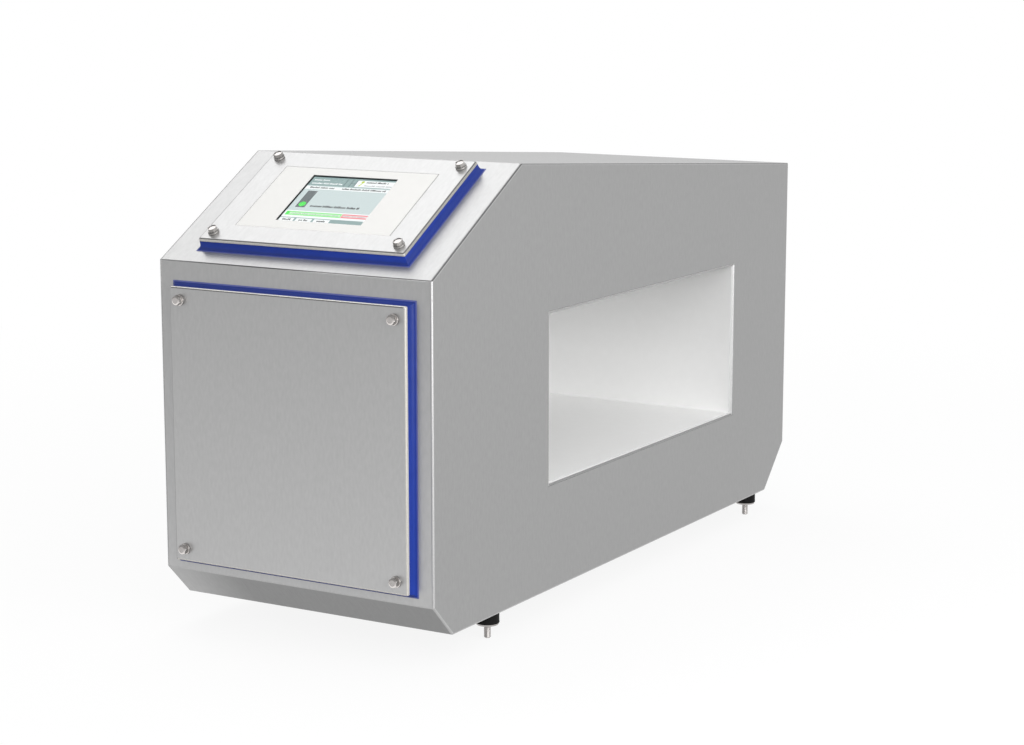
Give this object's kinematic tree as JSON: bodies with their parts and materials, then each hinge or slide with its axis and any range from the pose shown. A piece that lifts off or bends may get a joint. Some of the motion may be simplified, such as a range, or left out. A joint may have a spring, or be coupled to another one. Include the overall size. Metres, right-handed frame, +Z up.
{
  "type": "industrial metal detector",
  "caption": "Tunnel metal detector head for food and packaging lines: ground stainless housing, tunnel for the belt, touch-screen panel on a slope, bolted front cover, studs as feet.",
  "frame": {"origin": "under the middle of the whole machine, level with the tips of its studs", "axes": "+X along the belt, +Y from the operator's face to the rear, +Z up"},
  "size_m": [0.365, 0.9466, 0.5446],
  "materials": {
    "housing_steel": "fine ground stainless sheet",
    "plate_steel": "satin ground stainless plate",
    "inner_steel": "plain rolled stainless sheet",
    "fastener_steel": "turned stainless steel",
    "blue_silicone": "moulded silicone, satin",
    "seal_rubber": "soft rubber",
    "buffer_rubber": "moulded rubber, satin",
    "liner_plastic": "machined plastic",
    "former_plastic": "glass-filled resin",
    "coil_copper": "enamelled copper wire and tape",
    "potting_resin": "poured resin",
    "filling_foam": "rigid foam poured in place",
    "cable_sheath": "extruded sheath",
    "ribbon_plastic": "ribbed flat cable",
    "circuit_board": "green lacquered laminate",
    "spacer_brass": "turned brass",
    "case_metal": "folded aluminium",
    "heat_sink_metal": "black anodised",
    "capacitor_case": "moulded case",
    "terminal_plastic": "moulded plastic",
    "socket_plastic": "moulded plastic",
    "plug_plastic": "moulded plastic",
    "decor_foil": "printed foil, silk matt",
    "touch_glass": "clear glass"
  },
  "bodies": {
    "root": {"housing_wrap": "housing_steel", "side_panel_left": "housing_steel", "side_panel_right": "housing_steel", "bulkhead": "inner_steel", "cover_bushes": "fastener_steel", "panel_bushes": "fastener_steel", "tunnel_liner": "liner_plastic", "liner_seal_left": "seal_rubber", "liner_seal_right": "seal_rubber", "coil_former": "former_plastic", "transmit_coil": "coil_copper", "receive_coil_left": "coil_copper", "receive_coil_right": "coil_copper", "coil_potting": "potting_resin", "potting_foam": "filling_foam", "coil_cable": "cable_sheath", "bulkhead_grommet": "seal_rubber", "plate_pillars": "fastener_steel", "mounting_plate": "inner_steel", "plate_nuts": "fastener_steel", "power_supply": "case_metal", "main_board": "circuit_board", "receiver_board": "circuit_board", "drive_board": "circuit_board", "board_spacers": "spacer_brass", "board_screws": "fastener_steel", "processor_cooler": "heat_sink_metal", "board_sockets": "socket_plastic", "screening_can": "inner_steel", "drive_heat_sink": "heat_sink_metal", "drive_capacitors": "capacitor_case", "mounting_rail": "inner_steel", "terminal_blocks": "terminal_plastic", "end_clamps": "terminal_plastic", "display_cable": "ribbon_plastic", "display_plug": "plug_plastic", "foot_bushes": "fastener_steel", "foot_top_studs": "fastener_steel", "foot_rubbers": "buffer_rubber", "foot_bottom_studs": "fastener_steel", "gland_bodies": "fastener_steel", "gland_locknuts": "fastener_steel", "gland_caps": "fastener_steel", "gland_inserts": "seal_rubber", "vent_plug": "plug_plastic", "earth_stud": "fastener_steel", "earth_nuts": "fastener_steel"},
    "front_cover_body": {"front_cover": "plate_steel", "front_gasket": "blue_silicone", "cover_screws": "fastener_steel", "cover_screw_seals": "seal_rubber"},
    "control_panel_body": {"panel_plate": "plate_steel", "panel_gasket": "blue_silicone", "panel_screws": "fastener_steel", "panel_screw_seals": "seal_rubber", "decor_foil": "decor_foil", "touch_glass": "touch_glass", "display_module": "case_metal", "display_frame": "inner_steel", "panel_back_cover": "inner_steel"}
  },
  "joints": [
    {"name": "front_cover_lift_off", "type": "slide", "parent": "root", "child": "front_cover_body", "axis": [0, -1, 0], "range_m": [0, 0.2]},
    {"name": "control_panel_lift_off", "type": "slide", "parent": "root", "child": "control_panel_body", "axis": [0, -0.5045, 0.8634], "range_m": [0, 0.15]}
  ]
}
